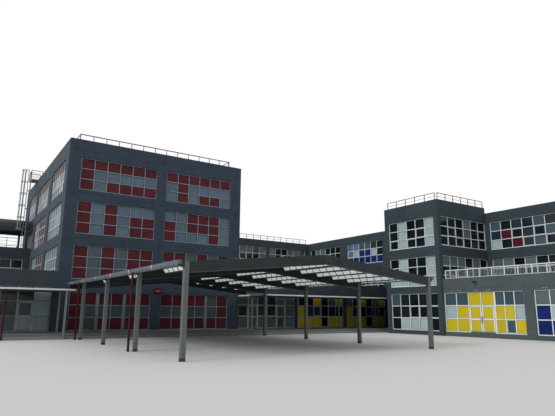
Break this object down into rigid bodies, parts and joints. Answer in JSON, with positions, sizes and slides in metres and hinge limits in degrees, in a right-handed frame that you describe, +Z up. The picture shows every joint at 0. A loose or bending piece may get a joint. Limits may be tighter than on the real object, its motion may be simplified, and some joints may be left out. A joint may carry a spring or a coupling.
{
  "type": "school building, 1:2 scale model",
  "caption": "Four-storey concrete school block with red and pale window panels, low wings, taller rear wings, an open storey and a gabled court canopy, at half size",
  "frame": {"origin": "middle of the four-storey block's base, at the level of the court", "axes": "+Z up, -Y towards the court, +X along the front to the right wing"},
  "size_m": [24.35, 23.85, 7.71],
  "materials": {
    "block_concrete": "board-marked concrete in a dark blue-grey",
    "side_concrete": "fair-faced concrete in a mid grey",
    "light_concrete": "fair-faced concrete in a light grey",
    "slab_concrete": "trowelled concrete",
    "glass": "clear",
    "window_bars": "satin, powder coated",
    "pale_bars": "satin, powder coated",
    "red_panel": "satin",
    "yellow_panel": "satin",
    "blue_panel": "satin",
    "door_leaf": "satin, powder coated",
    "galvanised": "galvanised",
    "dark_beam": "satin",
    "blade": "satin",
    "gutter": "satin",
    "translucent_sheet": "translucent white, matt",
    "pipe": "satin"
  },
  "bodies": {
    "building": {"block_slabs": "slab_concrete", "block_front_piers": "block_concrete", "block_side_piers": "side_concrete", "block_front_spandrels": "block_concrete", "block_side_spandrels": "side_concrete", "block_glass": "glass", "block_front_frames": "window_bars", "block_side_frames": "window_bars", "red_panels": "red_panel", "left_piers": "side_concrete", "left_walls": "side_concrete", "left_slabs": "slab_concrete", "left_glass": "glass", "left_frames": "pale_bars", "open_storey_posts": "side_concrete", "open_storey_beams": "side_concrete", "open_storey_roof": "slab_concrete", "rear_piers": "side_concrete", "rear_walls": "side_concrete", "rear_slabs": "slab_concrete", "rear_glass": "glass", "rear_frames": "pale_bars", "right_piers": "light_concrete", "right_walls": "light_concrete", "terrace_walls": "light_concrete", "right_slabs": "slab_concrete", "right_glass": "glass", "right_frames": "pale_bars", "terrace_frames": "pale_bars", "yellow_panels": "yellow_panel", "blue_panels": "blue_panel", "raised_walk": "slab_concrete", "walk_step": "slab_concrete", "walkway_roofs": "gutter", "walkway_posts": "galvanised", "court_posts": "galvanised", "court_beams": "dark_beam", "court_ridge_plates": "dark_beam", "court_blades": "blade", "court_risers": "galvanised", "court_panes": "translucent_sheet", "court_gutters": "gutter", "downpipes": "pipe", "railings": "galvanised", "roof_ladder": "galvanised", "cage_straps": "galvanised", "cage_hoops": "galvanised", "roof_landing": "galvanised", "landing_masts": "galvanised"},
    "left_door": {"left_door": "door_leaf"},
    "link_door_left": {"link_door_left": "door_leaf"},
    "link_door_right": {"link_door_right": "door_leaf"},
    "terrace_door_left": {"terrace_door_left": "yellow_panel"},
    "terrace_door_right": {"terrace_door_right": "yellow_panel"}
  },
  "joints": [
    {"name": "left_door_swing", "type": "hinge", "parent": "building", "child": "left_door", "pos_m": [-4.83567, -5.445, 0.165], "axis": [0, 0, -1], "range_deg": [0, 90]},
    {"name": "link_door_left_swing", "type": "hinge", "parent": "building", "child": "link_door_left", "pos_m": [4.4235, -5.12, 0.165], "axis": [0, 0, -1], "range_deg": [0, 90]},
    {"name": "link_door_right_swing", "type": "hinge", "parent": "building", "child": "link_door_right", "pos_m": [5.931, -5.12, 0.165], "axis": [0, 0, -1], "range_deg": [0, 90]},
    {"name": "terrace_door_left_swing", "type": "hinge", "parent": "building", "child": "terrace_door_left", "pos_m": [10.005, -12.4635, 0.165], "axis": [0, 0, -1], "range_deg": [0, 90]},
    {"name": "terrace_door_right_swing", "type": "hinge", "parent": "building", "child": "terrace_door_right", "pos_m": [10.005, -13.499, 0.165], "axis": [0, 0, 1], "range_deg": [0, 90]}
  ]
}
